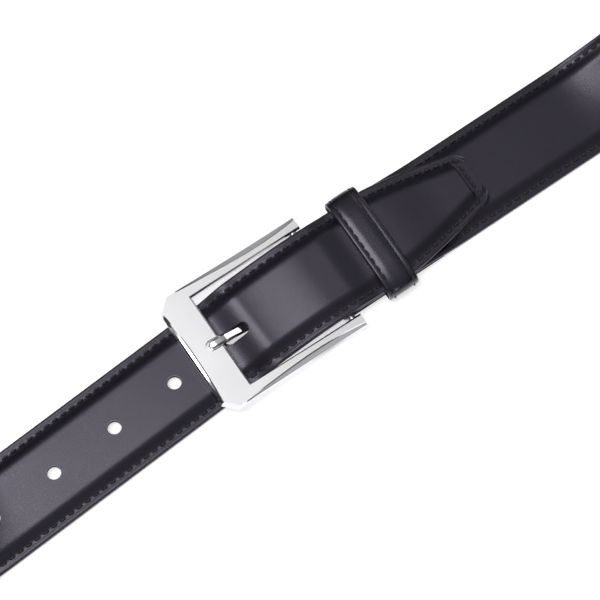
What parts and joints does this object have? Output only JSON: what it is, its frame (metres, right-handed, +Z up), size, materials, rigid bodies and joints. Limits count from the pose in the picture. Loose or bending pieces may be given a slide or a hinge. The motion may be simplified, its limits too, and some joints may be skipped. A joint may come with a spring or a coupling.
{
  "type": "leather belt",
  "caption": "Black leather dress belt, fastened: raised stitched strap, single-prong metal frame buckle, stitched keeper, lying front side up.",
  "frame": {"origin": "the middle of the closed belt's box, on the surface the belt lies on; the buckle's heel bar is at x 19.3 mm, y -68.2 mm", "axes": "+X along the belt's front from the buckle towards its tip, +Y towards the back of the loop, +Z up"},
  "size_m": [0.5212, 0.1879, 0.035],
  "materials": {
    "face_leather": "semi-gloss black, fine grain",
    "lining_leather": "matt black",
    "core_board": "undyed bonded leather",
    "thread": "waxed black thread",
    "buckle_metal": "satin top, polished bevels",
    "wire": "plain steel"
  },
  "bodies": {
    "strap": {"strap_face": "face_leather", "strap_core": "core_board", "strap_lining": "lining_leather", "strap_thread": "thread", "strap_bobbin_thread": "thread", "fold_thread": "thread", "keeper_face": "face_leather", "keeper_lining": "lining_leather", "keeper_staple": "wire", "keeper_thread_front": "thread", "keeper_thread_rear": "thread"},
    "buckle": {"buckle_frame": "buckle_metal", "heel_bar": "wire"},
    "tongue": {"prong": "buckle_metal"}
  },
  "joints": [
    {"name": "frame_swing", "type": "hinge", "parent": "strap", "child": "buckle", "pos_m": [0.0193, -0.0682, 0.0027], "axis": [0, 1, 0], "range_deg": [0, 20], "deforming": ["strap_face", "strap_core", "strap_lining", "strap_thread", "strap_bobbin_thread"]},
    {"name": "prong_lift", "type": "hinge", "parent": "buckle", "child": "tongue", "pos_m": [0.0193, -0.0682, 0.0027], "axis": [0, 1, 0], "range_deg": [0, 5], "deforming": ["strap_face", "strap_core", "strap_lining", "strap_thread", "strap_bobbin_thread"]}
  ]
}
